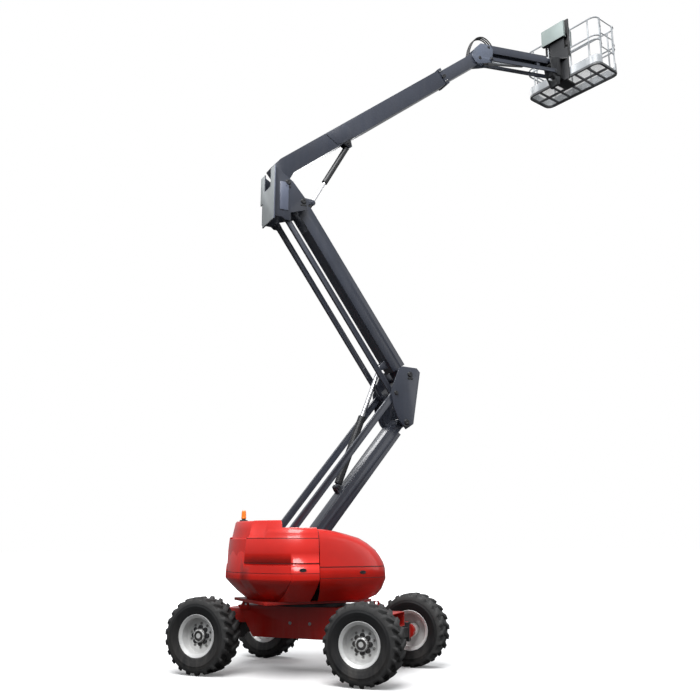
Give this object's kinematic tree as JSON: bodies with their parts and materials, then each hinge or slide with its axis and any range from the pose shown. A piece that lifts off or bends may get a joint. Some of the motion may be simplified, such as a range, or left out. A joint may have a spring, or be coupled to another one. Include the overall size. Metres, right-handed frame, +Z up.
{
  "type": "articulating boom lift",
  "caption": "Wheeled articulating boom lift: turning base, folding riser arms, telescopic boom, jib and railed work platform.",
  "frame": {"origin": "on the ground under the middle of the machine as it stands in the picture", "axes": "+X along the boom, from the counterweight to the platform; +Y to the left of that; +Z up"},
  "size_m": [8.6075, 4.2342, 12.6689],
  "materials": {
    "red": "gloss",
    "red_shell": "gloss",
    "red_cast": "gloss",
    "arm_grey": "satin",
    "light_grey": "satin",
    "dark_metal": "satin",
    "dark_cast": "matte",
    "rim_silver": "satin",
    "tread_rubber": "matte",
    "bright_rod": "polished",
    "amber": "gloss",
    "console_grey": "satin"
  },
  "bodies": {
    "chassis": {"chassis_frame": "red", "slew_ring": "dark_metal", "axles": "dark_metal"},
    "turret": {"turret_frame": "dark_metal", "counterweight": "red_cast", "beacon": "amber", "engine_block": "dark_cast", "tail_cowls": "red_shell"},
    "hood_left": {"nose_hood_left": "red_shell"},
    "hood_right": {"nose_hood_right": "red_shell"},
    "lower_arm": {"lower_arm": "arm_grey"},
    "lower_links": {"lower_links": "arm_grey"},
    "elbow": {"elbow_frame": "arm_grey"},
    "upper_arm": {"upper_arm": "arm_grey"},
    "upper_links": {"upper_links": "arm_grey"},
    "top_knuckle": {"top_knuckle": "arm_grey"},
    "arm_barrel": {"arm_cylinder_barrel": "dark_metal"},
    "arm_rod": {"arm_cylinder_rod": "bright_rod"},
    "boom_outer": {"boom_outer": "arm_grey"},
    "boom_inner": {"boom_inner": "arm_grey"},
    "boom_barrel": {"boom_cylinder_barrel": "dark_metal"},
    "boom_rod": {"boom_cylinder_rod": "bright_rod"},
    "jib_base": {"jib_base": "arm_grey"},
    "jib_arm": {"jib_arm": "arm_grey"},
    "jib_links": {"jib_links": "arm_grey"},
    "jib_end": {"jib_end": "dark_metal"},
    "jib_barrel": {"jib_cylinder_barrel": "light_grey"},
    "jib_rod": {"jib_cylinder_rod": "bright_rod"},
    "platform": {"basket_mount": "dark_metal", "basket_floor": "dark_metal", "basket_rails": "light_grey", "console": "console_grey"},
    "gate": {"entry_gate": "light_grey"},
    "steer_front_left": {"steer_knuckle_front_left": "red"},
    "wheel_front_left": {"rim_front_left": "rim_silver", "tyre_front_left": "tread_rubber"},
    "steer_front_right": {"steer_knuckle_front_right": "red"},
    "wheel_front_right": {"rim_front_right": "rim_silver", "tyre_front_right": "tread_rubber"},
    "steer_rear_left": {"steer_knuckle_rear_left": "red"},
    "wheel_rear_left": {"rim_rear_left": "rim_silver", "tyre_rear_left": "tread_rubber"},
    "steer_rear_right": {"steer_knuckle_rear_right": "red"},
    "wheel_rear_right": {"rim_rear_right": "rim_silver", "tyre_rear_right": "tread_rubber"}
  },
  "joints": [
    {"name": "turret_slew", "type": "hinge", "parent": "chassis", "child": "turret", "pos_m": [-2.278, 0, 0], "axis": [0, 0, 1], "range_deg": [-225.5, 124.5]},
    {"name": "steer_front_left", "type": "hinge", "parent": "chassis", "child": "steer_front_left", "pos_m": [-0.94094, -0.53721, 0.5375], "axis": [0, 0, 1], "range_deg": [-28, 28]},
    {"name": "spin_front_left", "type": "hinge", "parent": "steer_front_left", "child": "wheel_front_left", "pos_m": [-0.72103, -0.35593, 0.5375], "axis": [0.7716, 0.6361, 0], "continuous": true},
    {"name": "steer_front_right", "type": "hinge", "parent": "chassis", "child": "steer_front_right", "pos_m": [-2.00578, -1.415, 0.5375], "axis": [0, 0, 1], "range_deg": [-28.5, 28.5]},
    {"name": "spin_front_right", "type": "hinge", "parent": "steer_front_right", "child": "wheel_front_right", "pos_m": [-2.22569, -1.59628, 0.5375], "axis": [0.7716, 0.6361, 0], "continuous": true},
    {"name": "steer_rear_left", "type": "hinge", "parent": "chassis", "child": "steer_rear_left", "pos_m": [-2.55022, 1.415, 0.5375], "axis": [0, 0, 1], "range_deg": [-28, 28]},
    {"name": "spin_rear_left", "type": "hinge", "parent": "steer_rear_left", "child": "wheel_rear_left", "pos_m": [-2.33031, 1.59628, 0.5375], "axis": [0.7716, 0.6361, 0], "continuous": true},
    {"name": "steer_rear_right", "type": "hinge", "parent": "chassis", "child": "steer_rear_right", "pos_m": [-3.61506, 0.53721, 0.5375], "axis": [0, 0, 1], "range_deg": [-28.5, 28.5]},
    {"name": "spin_rear_right", "type": "hinge", "parent": "steer_rear_right", "child": "wheel_rear_right", "pos_m": [-3.83497, 0.35593, 0.5375], "axis": [0.7716, 0.6361, 0], "continuous": true},
    {"name": "hood_left", "type": "hinge", "parent": "turret", "child": "hood_left", "pos_m": [-2.278, 0.4, 2.035], "axis": [1, 0, 0], "range_deg": [0, 60]},
    {"name": "hood_right", "type": "hinge", "parent": "turret", "child": "hood_right", "pos_m": [-2.278, -0.4, 2.035], "axis": [-1, 0, 0], "range_deg": [0, 60]},
    {"name": "arms_raise", "type": "hinge", "parent": "turret", "child": "lower_arm", "pos_m": [-2.828, 0, 1.19], "axis": [0, -1, 0], "range_deg": [-49, 12]},
    {"name": "lower_link_turn", "type": "hinge", "parent": "turret", "child": "lower_links", "pos_m": [-3.018, 0, 1.66], "axis": [0, -1, 0], "range_deg": [-49.5, 12.5]},
    {"name": "elbow_turn", "type": "hinge", "parent": "lower_arm", "child": "elbow", "pos_m": [-0.758, 0, 3.75], "axis": [0, -1, 0], "range_deg": [-12.5, 49.5]},
    {"name": "upper_arm_turn", "type": "hinge", "parent": "elbow", "child": "upper_arm", "pos_m": [-0.678, 0, 4.55], "axis": [0, -1, 0], "range_deg": [-12.86, 50.97]},
    {"name": "upper_link_turn", "type": "hinge", "parent": "elbow", "child": "upper_links", "pos_m": [-0.948, 0, 4.22], "axis": [0, -1, 0], "range_deg": [-12.86, 50.97]},
    {"name": "top_knuckle_turn", "type": "hinge", "parent": "upper_arm", "child": "top_knuckle", "pos_m": [-2.608, 0, 7.28], "axis": [0, -1, 0], "range_deg": [-50.97, 12.86]},
    {"name": "arm_barrel_turn", "type": "hinge", "parent": "lower_arm", "child": "arm_barrel", "pos_m": [-1.863, 0, 2.68], "axis": [0, -1, 0], "range_deg": [-1.42, 4.27]},
    {"name": "arm_rod_slide", "type": "slide", "parent": "arm_barrel", "child": "arm_rod", "axis": [0.3681, 0, 0.9298], "range_m": [-0.8531, 0.2127]},
    {"name": "boom_lift", "type": "hinge", "parent": "top_knuckle", "child": "boom_outer", "pos_m": [-2.886, 0, 7.56], "axis": [0, -1, 0], "range_deg": [-42, 35]},
    {"name": "boom_barrel_turn", "type": "hinge", "parent": "boom_outer", "child": "boom_barrel", "pos_m": [-1.677, 0, 8.6], "axis": [0, -1, 0], "range_deg": [-5.6, 4.75]},
    {"name": "boom_rod_slide", "type": "slide", "parent": "boom_barrel", "child": "boom_rod", "axis": [-0.4886, 0, -0.8725], "range_m": [-0.3615, 0.3021]},
    {"name": "telescope", "type": "slide", "parent": "boom_outer", "child": "boom_inner", "axis": [0.7793, 0, 0.6266], "range_m": [-0.88, 1.9]},
    {"name": "jib_level", "type": "hinge", "parent": "boom_inner", "child": "jib_base", "pos_m": [1.19188, 0, 11.12997], "axis": [0, -1, 0], "range_deg": [-35.5, 42.5]},
    {"name": "jib_lift", "type": "hinge", "parent": "jib_base", "child": "jib_arm", "pos_m": [1.412, 0, 11.425], "axis": [0, -1, 0], "range_deg": [-73, 57]},
    {"name": "jib_link_turn", "type": "hinge", "parent": "jib_base", "child": "jib_links", "pos_m": [1.462, 0, 11.165], "axis": [0, -1, 0], "range_deg": [-73.5, 57.5]},
    {"name": "jib_end_turn", "type": "hinge", "parent": "jib_arm", "child": "jib_end", "pos_m": [3.042, 0, 11.638], "axis": [0, -1, 0], "range_deg": [-57.5, 73.5]},
    {"name": "jib_barrel_turn", "type": "hinge", "parent": "jib_base", "child": "jib_barrel", "pos_m": [1.392, 0, 11.13], "axis": [0, -1, 0], "range_deg": [-73.02, 57.12]},
    {"name": "jib_rod_slide", "type": "slide", "parent": "jib_barrel", "child": "jib_rod", "axis": [0.9739, 0, 0.227], "range_m": [-0.3172, 0.2487]},
    {"name": "basket_turn", "type": "hinge", "parent": "jib_end", "child": "platform", "pos_m": [3.227, 0, 0], "axis": [0, 0, 1], "range_deg": [-102, 78]},
    {"name": "gate_swing", "type": "hinge", "parent": "platform", "child": "gate", "pos_m": [3.7648, -0.79864, 12.07], "axis": [0, 0, 1], "range_deg": [0, 85]}
  ],
  "couplings": [
    {"joint": "steer_front_right", "follows": "steer_front_left", "ratio": 1},
    {"joint": "steer_rear_right", "follows": "steer_rear_left", "ratio": 1},
    {"joint": "lower_link_turn", "follows": "arms_raise", "ratio": 1},
    {"joint": "elbow_turn", "follows": "arms_raise", "ratio": -1},
    {"joint": "upper_arm_turn", "follows": "arms_raise", "ratio": -1.03},
    {"joint": "upper_link_turn", "follows": "arms_raise", "ratio": -1.03},
    {"joint": "top_knuckle_turn", "follows": "arms_raise", "ratio": 1.03},
    {"joint": "arm_barrel_turn", "follows": "arms_raise", "ratio": -0.0769},
    {"joint": "arm_rod_slide", "follows": "arms_raise", "m_per_rad": 0.9917},
    {"joint": "boom_barrel_turn", "follows": "boom_lift", "ratio": 0.1215},
    {"joint": "boom_rod_slide", "follows": "boom_lift", "m_per_rad": 0.4863},
    {"joint": "jib_level", "follows": "boom_lift", "ratio": -1},
    {"joint": "jib_link_turn", "follows": "jib_lift", "ratio": 1},
    {"joint": "jib_end_turn", "follows": "jib_lift", "ratio": -1},
    {"joint": "jib_barrel_turn", "follows": "jib_lift", "ratio": 0.9934},
    {"joint": "jib_rod_slide", "follows": "jib_lift", "m_per_rad": 0.245}
  ]
}
